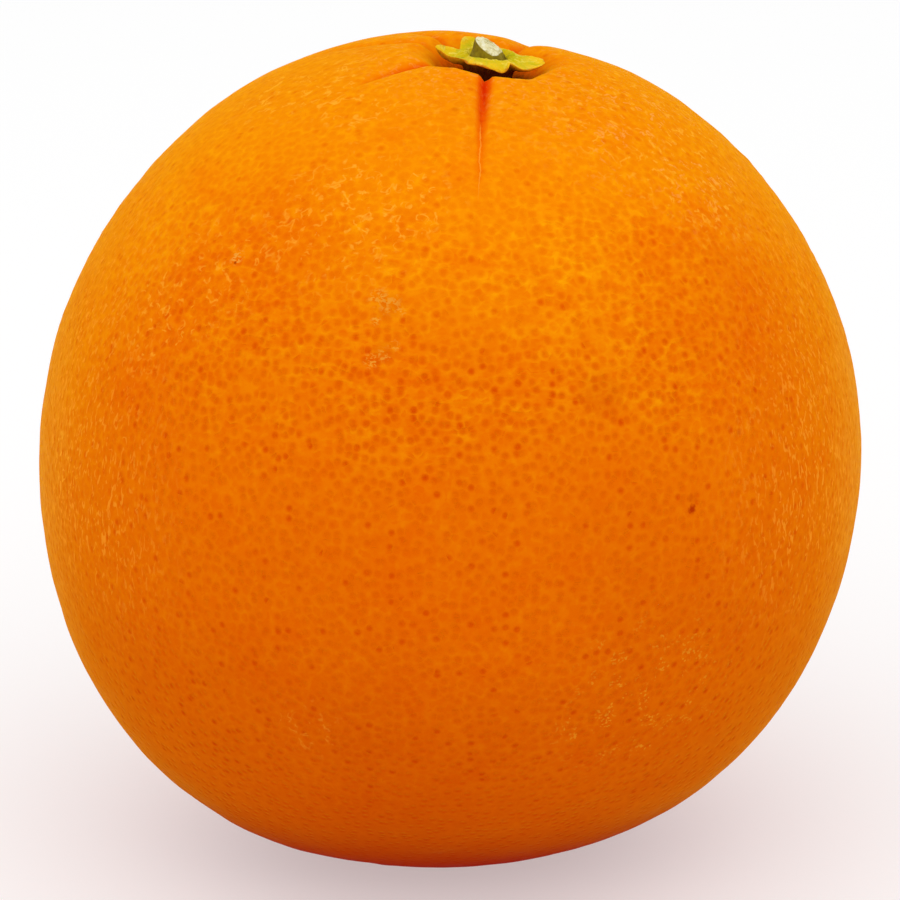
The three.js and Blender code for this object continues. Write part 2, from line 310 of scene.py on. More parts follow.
class Recipe:
    """Adds nodes to a material's tree or to a geometry tree."""

    def __init__(self, tree):
        self.tree = tree
        self.column = 0

    def node(self, kind, settings=None, inputs=None, output=0):
        """A node of that type, with its settings and then its sockets' values or links."""
        made = self.tree.nodes.new(kind)
        self.column += 1
        made.location = (220 * (self.column // 6), -260 * (self.column % 6))
        for name, value in (settings or {}).items():
            setattr(made, name, value)
        for name, value in (inputs or {}).items():
            socket = made.inputs[name]
            if isinstance(value, Signal):
                self.tree.links.new(value.socket, socket)
            elif socket.type == "RGBA" and len(value) == 3:
                socket.default_value = (*value, 1)
            else:
                socket.default_value = value
        return Signal(self, made.outputs[output]) if made.outputs else made

    def math(self, operation, *values):
        """Numbers worked out by a Math node."""
        return self.node("ShaderNodeMath", {"operation": operation}, dict(enumerate(values)))

    def vector(self, operation, *values, output=0):
        """Vectors or colours worked out by a Vector Math node."""
        settings = {"operation": operation}
        return self.node("ShaderNodeVectorMath", settings, dict(enumerate(values)), output)

    def scaled(self, vector, factor):
        """A vector times a number."""
        settings = {"operation": "SCALE"}
        return self.node("ShaderNodeVectorMath", settings, {"Vector": vector, "Scale": factor})

    def split(self, vector):
        """The three components of a vector or colour."""
        parts = self.node("ShaderNodeSeparateXYZ", None, {"Vector": vector})
        return parts, parts.output("Y"), parts.output("Z")

    def step(self, value, start, end, low=0.0, high=1.0):
        """Goes smoothly from low to high while value goes from start to end."""
        inputs = {
            "Value": value, "From Min": start, "From Max": end, "To Min": low, "To Max": high,
        }
        return self.node("ShaderNodeMapRange", {"interpolation_type": "SMOOTHSTEP"}, inputs)

    def peak(self, value, middle, reach):
        """1 where value is middle, falling smoothly to 0 at reach to both sides."""
        return self.step(abs(value - middle), reach, 0)

    def mix(self, first, second, factor, blend="MIX"):
        """Two colours mixed."""
        settings = {"data_type": "RGBA", "blend_type": blend, "clamp_factor": True}
        return self.node("ShaderNodeMix", settings, {0: factor, 6: first, 7: second}, output=2)

    def tint(self, colour, share, factor):
        """The colour times a share of its red, green and blue, as far as factor goes."""
        return self.mix(colour, share, factor, blend="MULTIPLY")

    def noise(self, place, scale, detail=2.0, distortion=0.0):
        """Soft random values from 0 to 1, with scale of them to a mm."""
        inputs = {
            "Vector": place, "Scale": scale, "Detail": detail, "Distortion": distortion,
        }
        return self.node("ShaderNodeTexNoise", {"noise_dimensions": "3D"}, inputs)

    def cells(self, place, scale, randomness=1.0):
        """The distance from the nearest of many scattered points, with scale of them to a mm."""
        settings = {"voronoi_dimensions": "3D", "feature": "F1"}
        inputs = {"Vector": place, "Scale": scale, "Randomness": randomness}
        return self.node("ShaderNodeTexVoronoi", settings, inputs)

    def attribute(self, name):
        """A number that the mesh carries at each vertex."""
        if self.tree.type == "GEOMETRY":
            settings = {"data_type": "FLOAT"}
            return self.node("GeometryNodeInputNamedAttribute", settings, {"Name": name})
        return self.node("ShaderNodeAttribute", {"attribute_name": name}, output="Fac")

    def place_in_mm(self):
        """Where a point of the piece is, in mm."""
        place = self.node("ShaderNodeTexCoord", output="Object")
        return self.scaled(place, 1 / MM)

    def bump(self, height, strength):
        """Normals bumped by a height in mm."""
        inputs = {"Strength": strength, "Distance": MM, "Height": height}
        return self.node("ShaderNodeBump", None, inputs)


def finish_material(recipe, inputs, bare=None):
    """Joins the values to a Principled shader and that to the output.

    Where bare is given, it is the share, from 0 to 1, of the same shader without its sheen.
    """
    shader = recipe.node("ShaderNodeBsdfPrincipled", None, inputs)
    if bare is not None:
        dull = recipe.node("ShaderNodeBsdfPrincipled", None, {**inputs, "Sheen Weight": 0.0})
        shader = recipe.node("ShaderNodeMixShader", None, {0: bare, 1: shader, 2: dull})
    recipe.node("ShaderNodeOutputMaterial", None, {"Surface": shader})


def new_material(name):
    """An empty material and the recipe that fills its tree."""
    material = bpy.data.materials.new(name)
    material.use_nodes = True
    material.node_tree.nodes.clear()
    return material, Recipe(material.node_tree)


def relief(piece, name, height_at):
    """Moves the vertices of a piece out along their normals by a height in mm, and applies it."""
    group = bpy.data.node_groups.new(name, "GeometryNodeTree")
    for way in ("INPUT", "OUTPUT"):
        group.interface.new_socket("Geometry", in_out=way, socket_type="NodeSocketGeometry")
    recipe = Recipe(group)
    mesh = recipe.node("NodeGroupInput")
    place = recipe.scaled(recipe.node("GeometryNodeInputPosition"), 1 / MM)
    height = height_at(recipe, place)
    offset = recipe.scaled(recipe.node("GeometryNodeInputNormal"), height * MM)
    moved = recipe.node("GeometryNodeSetPosition", None, {"Geometry": mesh, "Offset": offset})
    recipe.node("NodeGroupOutput", None, {0: moved})
    apply_modifier(piece, "NODES", node_group=group)


# ---------------------------------------------------------------- modelling helpers

MERGE_DISTANCE = 0.001 * MM
QUAD_ANGLE = math.radians(60)  # most that two triangles are bent or skewed and still joined


def deselect_all():
    """Leaves no object selected."""
    bpy.ops.object.select_all(action="DESELECT")


def take(piece):
    """Makes a piece the only selected one, and the active one."""
    deselect_all()
    piece.select_set(True)
    bpy.context.view_layer.objects.active = piece


def apply_modifier(piece, kind, **settings):
    """Adds a modifier with those settings and applies it."""
    take(piece)
    bpy.ops.object.modifier_add(type=kind)
    modifier = piece.modifiers[-1]
    for name, value in settings.items():
        setattr(modifier, name, value)
    bpy.ops.object.modifier_apply(modifier=modifier.name)


def merged_copy(node, name):
    """A merged copy of a CAD node's mesh as an object of its own."""
    piece = bpy.data.objects.new(name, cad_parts[node].data.copy())
    bpy.context.collection.objects.link(piece)
    piece.data.materials.clear()
    take(piece)
    bpy.ops.object.mode_set(mode="EDIT")
    bpy.ops.mesh.select_all(action="SELECT")
    bpy.ops.mesh.remove_doubles(threshold=MERGE_DISTANCE)
    bpy.ops.object.mode_set(mode="OBJECT")
    return piece


def join_to_quads(piece):
    """Joins a piece's triangles, two by two, into four-sided faces."""
    take(piece)
    bpy.ops.object.mode_set(mode="EDIT")
    bpy.ops.mesh.select_all(action="SELECT")
    bpy.ops.mesh.tris_convert_to_quads(face_threshold=QUAD_ANGLE, shape_threshold=QUAD_ANGLE)
    bpy.ops.object.mode_set(mode="OBJECT")


def points_of(mesh):
    """The vertices' places, one row each."""
    points = np.empty(3 * len(mesh.vertices))
    mesh.vertices.foreach_get("co", points)
    return points.reshape(-1, 3)


def set_points(mesh, points):
    """Moves the vertices to those places."""
    mesh.vertices.foreach_set("co", points.ravel())
    mesh.update()


def set_attribute(mesh, name, values):
    """Stores a number at each vertex."""
    attribute = mesh.attributes.new(name, "FLOAT", "POINT")
    attribute.data.foreach_set("value", np.asarray(values, dtype=np.float32))


def smooth_step(values, start, end):
    """Goes smoothly from 0 to 1 while the values go from start to end."""
    share = np.clip((values - start) / (end - start), 0, 1)
    return share * share * (3 - 2 * share)


def in_stem_frame(points):
    """Points seen from the centre of the body, with the stem along z, in mm."""
    return (points - np.array(BODY_CENTRE)) @ np.array(STEM_TURN) / MM


def from_stem_frame(points):
    """The other way round."""
    return (points * MM) @ np.array(STEM_TURN).T + np.array(BODY_CENTRE)


def place_on_skin(points):
    """Distance over the skin from the stem in mm, and azimuth round it in radians."""
    local = in_stem_frame(points)
    upright = local[:, 2] / np.linalg.norm(local, axis=1)
    distance = np.arccos(np.clip(upright, -1, 1)) * BODY_RADIUS / MM
    return distance, np.arctan2(local[:, 1], local[:, 0])


FAR_AWAY = 100.0  # mm


def crease_side(crease, distance, azimuth):
    """How far a place lies to the side of a crease's line, in mm, and far away behind it."""
    line = np.radians(crease["azimuth"] + crease["sway"] * distance / crease["length"])
    turn = azimuth - line
    return np.where(np.cos(turn) > 0, distance * np.sin(turn), FAR_AWAY)


def mark_centre(mark):
    """Where a mark is on the skin, in mm."""
    azimuth = math.radians(mark["azimuth"])
    elevation = math.radians(mark["elevation"])
    level = BODY_RADIUS * math.cos(elevation)
    offset = Vector((
        level * math.cos(azimuth), level * math.sin(azimuth), BODY_RADIUS * math.sin(elevation),
    ))
    return (BODY_CENTRE + offset) / MM


def finish_piece(piece, node, material):
    """Smooth faces, the material, and the piece's place in the frame."""
    take(piece)
    bpy.ops.object.shade_smooth()
    piece.data.materials.append(material)
    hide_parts(node)
    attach(piece, "root")


# ---------------------------------------------------------------- the rind's form

SHOULDER = 16.0  # mm from the stem, within which the solid has no large pits
SPOT_EDGE = 8.5  # mm from the centre of the flat spot, the same
PIT_DROP = 0.04 * MM  # a vertex lower than its neighbours by this much is a large pit
STEM_GATHER = 0.36  # share by which the mesh is finer at the stem end


def fill_large_pits(form):
    """Takes out the vertices at the bottom of the solid's large stand-in pits."""
    mesh = form.data
    points = points_of(mesh)
    radius = np.linalg.norm(points - np.array(BODY_CENTRE), axis=1)
    edges = np.empty(2 * len(mesh.edges), dtype=np.int32)
    mesh.edges.foreach_get("vertices", edges)
    ends = edges.reshape(-1, 2)
    around = np.zeros(len(points))
    count = np.zeros(len(points))
    for a, b in ((0, 1), (1, 0)):
        np.add.at(around, ends[:, a], radius[ends[:, b]])
        np.add.at(count, ends[:, a], 1)
    distance, _ = place_on_skin(points)
    off_spot = np.hypot(points[:, 0], points[:, 1]) / MM > SPOT_EDGE
    pits = (around / count - radius > PIT_DROP) & (distance > SHOULDER)
    pits &= off_spot | (points[:, 2] > BODY_CENTRE.z)
    take(form)
    bpy.ops.object.mode_set(mode="EDIT")
    bpy.ops.mesh.select_mode(type="VERT")
    bpy.ops.mesh.select_all(action="DESELECT")
    bpy.ops.object.mode_set(mode="OBJECT")
    mesh.vertices.foreach_set("select", pits)
    bpy.ops.object.mode_set(mode="EDIT")
    bpy.ops.mesh.dissolve_verts()
    bpy.ops.object.mode_set(mode="OBJECT")


def quad_ball(name, levels):
    """A ball of even four-sided faces, round the centre of the body."""
    deselect_all()
    bpy.ops.mesh.primitive_cube_add(size=2 * BODY_RADIUS, location=BODY_CENTRE)
    ball = bpy.context.object
    ball.name = name
    ball.data.name = name
    apply_modifier(ball, "SUBSURF", levels=levels, render_levels=levels)
    apply_modifier(
        ball, "CAST", cast_type="SPHERE", factor=1, radius=0,
        use_radius_as_size=False, size=BODY_RADIUS,
    )
    take(ball)
    bpy.ops.object.transform_apply(location=True, rotation=True, scale=True)
    return ball


def gather_at_stem(ball):
    """Slides the vertices over the ball towards the stem, so that its mesh is finest there."""
    local = in_stem_frame(points_of(ball.data))
    radius = np.linalg.norm(local, axis=1)
    angle = np.arccos(np.clip(local[:, 2] / radius, -1, 1))
    across = np.hypot(local[:, 0], local[:, 1])
    moved_angle = angle - STEM_GATHER * np.sin(angle)
    on_axis = np.ones_like(across)
    spread = np.divide(radius * np.sin(moved_angle), across, out=on_axis, where=across > 0)
    local[:, 0] *= spread
    local[:, 1] *= spread
    local[:, 2] = radius * np.cos(moved_angle)
    set_points(ball.data, from_stem_frame(local))


CREASE_ONSET = (2.5, 7)  # mm from the stem, over which a crease opens
CREASE_FADE = 0.8  # power of its fading towards its end, where 1 is an even fading
CREASE_TAPER = 0.5  # share of its width that it loses by its end
FOLD_WIDTH = 0.3  # of the band of red painted shade in it, as a share of its width
LOBE_REACH = 1.5  # mm to both sides of a crease's line, where its sides close up
RIM_PLACE = 6.2  # mm from the stem, where they close up most
RIM_REACH = 2.6  # mm nearer and further
CREASE_CUT = 0.45  # mm by which a crease is cut along its very line
CREASE_CUT_REACH = 0.34  # mm to both sides of the line
# Where the shoulder rises to the rim of the dimple: azimuth round the stem in degrees,
# distance from it, reach and rise in mm.
RIM_RISES = [
    {"azimuth": 243, "distance": 6.4, "reach": 1.7, "rise": 0.55},
    {"azimuth": 285, "distance": 6.6, "reach": 1.5, "rise": 0.25},
]


def note_places(rind):
    """Stores where each vertex lies relative to the stem and the creases, and cuts the creases."""
    points = points_of(rind.data)
    distance, azimuth = place_on_skin(points)
    fold = np.zeros(len(points))
    cut = np.zeros(len(points))
    fill = np.zeros(len(points))
    for crease in CREASES:
        side = np.abs(crease_side(crease, distance, azimuth))
        share = np.clip(distance / crease["length"], 0, 1)
        width = crease["width"] * (1 - CREASE_TAPER * share)
        along = smooth_step(distance, *CREASE_ONSET) * (1 - share) ** CREASE_FADE
        red = along * np.exp(-((side / (FOLD_WIDTH * width)) ** 2))
        fold = np.maximum(fold, crease["red_shade"] * red)
        slit = along * np.exp(-((side / CREASE_CUT_REACH) ** 2))
        cut = np.maximum(cut, crease["sharpness"] * slit)
        at_rim = np.exp(-(((distance - RIM_PLACE) / RIM_REACH) ** 2))
        fill = np.maximum(fill, crease["closing"] * at_rim * np.exp(-((side / LOBE_REACH) ** 2)))
    rise = fill - cut * CREASE_CUT
    for rim in RIM_RISES:
        turn = azimuth - math.radians(rim["azimuth"])
        away = rim["distance"]
        apart = np.sqrt(distance ** 2 + away ** 2 - 2 * distance * away * np.cos(turn))
        rise += rim["rise"] * np.exp(-((apart / rim["reach"]) ** 2)) * (1 - cut)
    outwards = points - np.array(BODY_CENTRE)
    outwards /= np.linalg.norm(outwards, axis=1)[:, None]
    for swell in SWELLS:
        apart = np.linalg.norm(points / MM - np.array(mark_centre(swell)), axis=1)
        rise += swell["height"] * np.exp(-((apart / swell["reach"]) ** 2))
    set_points(rind.data, points + outwards * (rise * MM)[:, None])
    set_attribute(rind.data, "stem_distance", distance)
    set_attribute(rind.data, "fold", fold)
    set_attribute(rind.data, "cut", cut)
    set_attribute(rind.data, "front_side", crease_side(FRONT_CREASE, distance, azimuth))


# ---------------------------------------------------------------- the rind's pores

PORE_SCATTER = 0.9  # how irregularly the pores are scattered, from 0 to 1
PORE_REACH = 0.39  # of a pore, as a share of the pitch
# A pore whose middle is off the skin by the first share of the pitch is lost, and one that is
# off it by less than the second is full.
PORE_OFF = (0.62, 0.36)


def pores(recipe, place, pitch):
    """Pores of the rind at a place in mm.

    Gives how deep in a pore it is, from 0 to 1, the pore's own random share, the distance
    over the skin from the middle of the pore, and how far below the middle it lies, both as
    shares of the pitch.
    """
    cell = recipe.cells(place, MM / pitch, randomness=PORE_SCATTER)
    share, _, _ = recipe.split(cell.output("Color"))
    away = recipe.vector("SUBTRACT", place, cell.output("Position"))
    outwards = recipe.vector("NORMALIZE", recipe.vector("SUBTRACT", place, BODY_CENTRE / MM))
    off_skin = recipe.vector("DOT_PRODUCT", away, outwards, output="Value")
    over_skin = recipe.vector("SUBTRACT", away, recipe.scaled(outwards, off_skin))
    from_middle = recipe.vector("LENGTH", over_skin, output="Value") * (MM / pitch)
    near = recipe.step(abs(off_skin) * (MM / pitch), *PORE_OFF)
    depth = recipe.step(from_middle, PORE_REACH, 0.0) * near
    _, _, above = recipe.split(over_skin)
    return depth, share, from_middle, above * (-MM / pitch)


PORE_SHOULDER = (76, 50)  # mm above the table, over which the pores grow down the shoulder
PORE_FOOT = (3, 26)  # and over which they weaken towards the foot
PORE_ASIDE = (25, 37)  # mm to the left and right, over which they weaken
PUCKER_FOOT = (46, 56)  # mm above the table, where the puckered belt begins
PUCKER_TOP = (76, 66)  # and where it ends
PUCKER_ENDS = (32, 16)  # mm to the left and right, where it weakens
PUCKER_FLATTENING = (0.42, 0.42, 1.0)  # makes its ridges longer than they are high


def pore_strength(recipe, place):
    """How strongly the pores are sunk and coloured: least round the two ends and at the sides."""
    across, _, height = recipe.split(place)
    patches = recipe.noise(place, 0.07)
    strength = 0.1 + recipe.step(height, *PORE_SHOULDER) * 0.5 + patches * 0.45
    low = recipe.step(height, *PORE_FOOT, 0.4, 1)
    return strength * low * recipe.step(abs(across), *PORE_ASIDE, 1, 0.6)


def puckers(recipe, place):
    """The puckered belt above the middle, its short level ridges, and the troughs between
    them, all from 0 to 1.
    """
    across, _, height = recipe.split(place)
    patches = recipe.step(recipe.noise(place, 0.085, detail=1.0), 0.3, 0.54)
    belt = recipe.step(height, *PUCKER_FOOT) * recipe.step(height, *PUCKER_TOP)
    belt = belt * (0.4 + patches * 0.6) * recipe.step(abs(across), *PUCKER_ENDS, 0.4, 1)
    flattened = recipe.vector("MULTIPLY", place, PUCKER_FLATTENING)
    waves = recipe.noise(flattened, 1.1, detail=2.0, distortion=0.5)
    return belt, recipe.step(waves, 0.44, 0.68) * belt, recipe.step(waves, 0.5, 0.36) * belt


# ---------------------------------------------------------------- the rind's material

# Tints multiply the colour that is already there, and colours take its place.
# Painted shade: the rind redder and darker towards the foot.
FOOT_RED_SHADE_TINT = (0.85, 0.32, 0.6)
BLOTCH_TINT = (0.99, 0.86, 0.8)
GLAND_TINT = (0.90, 0.64, 0.5)
DEEP_GLAND_TINT = (0.91, 0.60, 0.5)
LAND_TINT = (1.05, 1.28, 1.5)
MOTTLE_TINT = (1.03, 1.22, 1.3)
# Painted highlights and painted shade on the belt's ridges, troughs and pores, as if lit from
# above.
RIDGE_HIGHLIGHT_TINT = (1.06, 1.38, 1.5)
TROUGH_SHADE_TINT = (0.95, 0.76, 0.66)
BROW_SHADE_TINT = (0.97, 0.76, 0.7)
LIP_HIGHLIGHT_TINT = (1.1, 1.5, 2.0)
# Pale curls: partly dried wax, partly painted glints.
CURL_COLOUR = (1.0, 0.455, 0.036)
# Painted sheen and reflection at the left and right sides, partly dried wax.
SIDE_SHEEN_TINT = (1.0, 1.08, 1.0)
SIDE_SHEEN_NET_COLOUR = (0.86, 0.35, 0.05)
SIDE_SHEEN_STREAK_COLOUR = (0.97, 0.34, 0.025)
# Painted contact shade near the floor.
FOOT_CONTACT_SHADE_TINT = (0.74, 0.42, 0.4)
# Painted shade in the creases, and darker along their cut line.
FOLD_SHADE_TINT = (0.96, 0.46, 0.3)
SLIT_SHADE_TINT = (0.86, 0.26, 0.3)
SCAR_COLOUR = (0.98, 0.40, 0.04)
# Painted shade round and in the dimple, partly dry tissue.
DIMPLE_RIM_SHADE_TINT = (0.96, 0.5, 0.4)
DIMPLE_TISSUE_AND_SHADE_COLOUR = (0.10, 0.012, 0.0005)
SMEAR_COLOUR = (0.97, 0.41, 0.09)
BLOSSOM_COLOUR = (0.20, 0.09, 0.02)

# Pairs of mm, between which something grows: above the table, outwards to the left and
# right, over the skin from the stem, or from the middle of the flat spot.
LOWER_HALF = (2, 50)
UPPER_HALF = (42, 82)
FOOT_RED = (20, 2)
MOTTLED = (35, 65)
CURLED = (20, 50)
BELOW_TOP = (66, 56)
SIDES = (34.5, 39.5)
SIDES_ABOVE = (14, 28)
SIDE_TINTED = (32, 38)
STREAKED = (22, 33)
STREAKED_ABOVE = (24, 42)
FOOT = (13, 2)
SHEEN_LOST = (13, 3)
DIMPLE_RIM = (5.8, 4.7)
DIMPLE = (4.9, 3.6)
SLIT_RED = (20, 9)
SCAR_START = (14.5, 16)
SCAR_END = (26, 22)
RIM_SMEARED = (16, 9)
RIM_SMEARED_START = (6.2, 7.5)
BLOSSOM = (2.4, 1.0)

HEIGHT_DRIFT = 22  # mm over which the borders between the colours wander up and down
SMEARS_FULL = 5  # mm from the middle of the smeared patch, within which it is full
LARGE_PATCH = 3.0  # mm, and a scratched patch with more reach is broken into clumps


def rind_colour(recipe, settings, place, height):
    """Yellow orange at the stem end, through orange to red orange at the blossom end, darker
    downwards: partly the rind's own hue and partly painted shade of light that falls from above,
    with more red painted shade at the foot.
    """
    drift = recipe.noise(place, 0.045) - 0.5
    level = height + drift * HEIGHT_DRIFT
    # Darker downwards: partly the rind's own hue, partly painted shade of light from above.
    rising = recipe.step(level, *LOWER_HALF)
    lower = recipe.mix(settings.lower_colour, settings.middle_colour, rising)
    # Painted shade: redder and darker towards the foot.
    lower = recipe.tint(lower, FOOT_RED_SHADE_TINT, recipe.step(height, *FOOT_RED))
    colour = recipe.mix(lower, settings.upper_colour, recipe.step(level, *UPPER_HALF))
    blotches = recipe.step(recipe.noise(place, 0.16), 0.5, 0.72)
    return recipe.tint(colour, BLOTCH_TINT, blotches * 0.8)


def mark_mask(recipe, place, mark, raggedness):
    """1 in the middle of a mark, 0 past its ragged edge."""
    distance = recipe.vector("DISTANCE", place, mark_centre(mark), output="Value")
    ragged = distance + (raggedness - 0.5) * mark["reach"]
    return recipe.step(ragged, mark["reach"] * 1.15, mark["reach"] * 0.35)


class Skin:
    """What the rind's colours are worked out from at each place, in mm or from 0 to 1."""

    def __init__(self, recipe, settings):
        self.place = recipe.place_in_mm()
        across, _, self.height = recipe.split(self.place)
        self.outwards = abs(across)
        self.stem_distance = recipe.attribute("stem_distance")
        self.fold = recipe.attribute("fold")
        self.smooth = 1 - self.fold
        self.fine = recipe.noise(self.place, 3.2, detail=3.0)
        self.medium = recipe.noise(self.place, 0.9, detail=2.0)
        self.clouds = recipe.step(recipe.noise(self.place, 0.3), 0.45, 0.6)
        in_pores = pores(recipe, self.place, settings.pore_pitch)
        self.depth, self.share, self.from_middle, self.below = in_pores
        self.strength = pore_strength(recipe, self.place)
        self.belt, self.ridge, self.trough = puckers(recipe, self.place)


def colour_pores(recipe, skin, colour):
    """Dark glands in the pores, a few of them much darker, and a lighter, mottled net of land
    between them. Gives the colour, and how dotted it is.
    """
    gland = recipe.math("POWER", skin.depth, 0.65) * recipe.step(skin.fine, 0.34, 0.5, 0.65, 1.1)
    dots = gland * (0.13 + skin.share * skin.share * 0.6 + skin.belt * 0.62) * skin.strength
    colour = recipe.tint(colour, GLAND_TINT, dots)
    deep = recipe.step(skin.share, 0.85, 0.96) * gland * (0.3 + skin.strength * 0.5)
    colour = recipe.tint(colour, DEEP_GLAND_TINT, deep)
    land = recipe.step(skin.from_middle, 0.3, 0.62) * recipe.step(skin.medium, 0.3, 0.62)
    colour = recipe.tint(colour, LAND_TINT, land * skin.smooth * 0.65)
    mottle = recipe.step(recipe.noise(skin.place, 1.5), 0.48, 0.68) * skin.smooth
    mottle = mottle * recipe.step(skin.height, *MOTTLED, 0.55, 0.6)
    return recipe.tint(colour, MOTTLE_TINT, mottle), dots


def colour_puckers(recipe, skin, colour):
    """Painted highlights on the belt's ridges and on the pores' lower lips, and painted shade in
    its troughs and on the pores' upper walls, as if lit from above.
    """
    colour = recipe.tint(colour, RIDGE_HIGHLIGHT_TINT, skin.ridge * (1 - skin.depth * 0.8) * 0.6)
    colour = recipe.tint(colour, TROUGH_SHADE_TINT, skin.trough * 0.5)
    brow = recipe.peak(skin.from_middle, 0.3, 0.25) * recipe.step(skin.below, -0.02, -0.3)
    colour = recipe.tint(colour, BROW_SHADE_TINT, brow * skin.belt * 0.6)
    lip = recipe.peak(skin.from_middle + (skin.fine - 0.5) * 0.15, 0.47, 0.17)
    lip = lip * recipe.step(skin.below + (skin.medium - 0.5) * 0.5, 0.05, 0.4)
    return recipe.tint(colour, LIP_HIGHLIGHT_TINT, lip * skin.belt * 0.22)


def colour_wax_and_glint_curls(recipe, skin, colour):
    """Pale curls on the rims of the pores: partly dried wax and partly painted glints of light,
    stronger higher up where the light falls from above.
    """
    wax_and_glint = 0
    for patch in WAXED_AND_GLINTING:
        wax_and_glint = wax_and_glint + mark_mask(recipe, skin.place, patch, skin.medium)
    wax_and_glint = wax_and_glint + recipe.peak(skin.stem_distance, 14, 10) * 0.4
    wax_and_glint = recipe.math("MINIMUM", wax_and_glint, 1.0)
    rim = recipe.peak(skin.from_middle + (skin.medium - 0.5) * 0.6, 0.48, 0.08)
    broken = recipe.step(recipe.noise(skin.place, 1.0, detail=1.0), 0.53, 0.6)
    strokes = recipe.peak(recipe.noise(skin.place, 0.8, detail=1.0, distortion=0.5), 0.5, 0.07)
    curls = (rim * 0.45 + strokes) * broken * wax_and_glint * skin.smooth
    # The painted glints grow stronger higher up, where the light falls from above.
    curls = curls * recipe.step(skin.height, *CURLED, 0.15, 0.5)
    return recipe.mix(colour, CURL_COLOUR, curls)


def colour_side_sheen(recipe, skin, colour):
    """The two sides, left and right as seen from the front, are yellower, with a pale net and
    upright streaks: painted sheen and reflection of the light, partly dried wax in the net and the
    streaks.
    """
    below_top = recipe.step(skin.height, *BELOW_TOP)
    aside = recipe.step(skin.outwards, *SIDE_TINTED)
    colour = recipe.tint(colour, SIDE_SHEEN_TINT, aside * below_top)
    sides = recipe.step(skin.outwards + (skin.medium - 0.5) * 3, *SIDES)
    sides = sides * recipe.step(skin.height, *SIDES_ABOVE)
    sides = sides * below_top * (0.5 + skin.clouds * 0.5)
    net = recipe.step(skin.from_middle + (skin.fine - 0.5) * 0.5, 0.05, 0.6)
    colour = recipe.mix(colour, SIDE_SHEEN_NET_COLOUR, sides * net * 0.25)
    upright = recipe.vector("MULTIPLY", skin.place, (1.0, 1.0, 0.4))
    streaks = recipe.step(recipe.noise(upright, 2.1, distortion=1.0), 0.55, 0.66)
    streaks = streaks * recipe.step(skin.outwards, *STREAKED)
    streaks = streaks * recipe.step(skin.height, *STREAKED_ABOVE) * skin.smooth
    return recipe.mix(colour, SIDE_SHEEN_STREAK_COLOUR, streaks * 0.5)


def colour_stem_end(recipe, skin, colour):
    """Red painted shade in the creases and darker along their cut line, a pale scar along the
    front one, painted shade round the dimple's rim, and the dark brown dimple, painted shade that
    is partly dry tissue.
    """
    # Red painted shade in the creases, and darker painted shade along their cut line.
    colour = recipe.tint(colour, FOLD_SHADE_TINT, recipe.step(skin.fold, 0.08, 0.72))
    slit = recipe.attribute("cut") * recipe.step(skin.stem_distance, *SLIT_RED, 0, 1.5)
    colour = recipe.tint(colour, SLIT_SHADE_TINT, slit)
    front_side = recipe.attribute("front_side")
    scar = recipe.peak(front_side + (skin.medium - 0.5) * 0.5, 0, 0.09)
    scar = scar * recipe.step(skin.stem_distance, *SCAR_START)
    scar = scar * recipe.step(skin.stem_distance, *SCAR_END)
    colour = recipe.mix(colour, SCAR_COLOUR, scar * 0.6)
    # Painted shade round the dimple's rim, and the dimple painted dark brown: painted shade,
    # partly dry tissue.
    rim = recipe.step(skin.stem_distance, *DIMPLE_RIM)
    colour = recipe.tint(colour, DIMPLE_RIM_SHADE_TINT, rim)
    dimple = recipe.step(skin.stem_distance + (skin.fine - 0.5) * 1.0, *DIMPLE)
    return recipe.mix(colour, DIMPLE_TISSUE_AND_SHADE_COLOUR, dimple * 0.95)


def colour_marks(recipe, skin, colour):
    """Patches of scratches, smears of wax, small brown marks, and the scar of the blossom."""
    levelled = recipe.vector("MULTIPLY", skin.place, (0.8, 0.8, 1.4))
    scratch = recipe.step(recipe.noise(levelled, 2.8, distortion=0.8), 0.50, 0.60)
    specks = recipe.step(skin.fine, 0.54, 0.63)
    clumps = recipe.step(recipe.noise(skin.place, 0.6, detail=1.0), 0.5, 0.62)
    for patch in SCRATCHED:
        mask = mark_mask(recipe, skin.place, patch, skin.medium)
        if patch["reach"] > LARGE_PATCH:
            mask = mask * specks * clumps * 0.62
        else:
            mask = mask * scratch * 0.85
        colour = recipe.mix(colour, patch["colour"], mask)
    smears = recipe.step(recipe.noise(skin.place, 1.4, distortion=1.2), 0.56, 0.68)
    veil = recipe.vector("DISTANCE", skin.place, mark_centre(SMEARED), output="Value")
    veil = recipe.step(veil, SMEARED["reach"], SMEARS_FULL) * skin.clouds
    near_rim = recipe.step(skin.stem_distance, *RIM_SMEARED)
    near_rim = near_rim * recipe.step(skin.stem_distance, *RIM_SMEARED_START) * 0.6
    smears = smears * recipe.math("MAXIMUM", veil, near_rim) * skin.smooth
    colour = recipe.mix(colour, SMEAR_COLOUR, smears * 0.55)
    for mark in MARKS:
        mask = mark_mask(recipe, skin.place, mark, skin.fine)
        colour = recipe.tint(colour, mark["tint"], mask * mark["strength"])
    from_spot = recipe.vector("DISTANCE", skin.place, (0, 0, 0), output="Value")
    blossom = recipe.step(from_spot + (skin.fine - 0.5) * 1.5, *BLOSSOM)
    return recipe.mix(colour, BLOSSOM_COLOUR, blossom * 0.9)


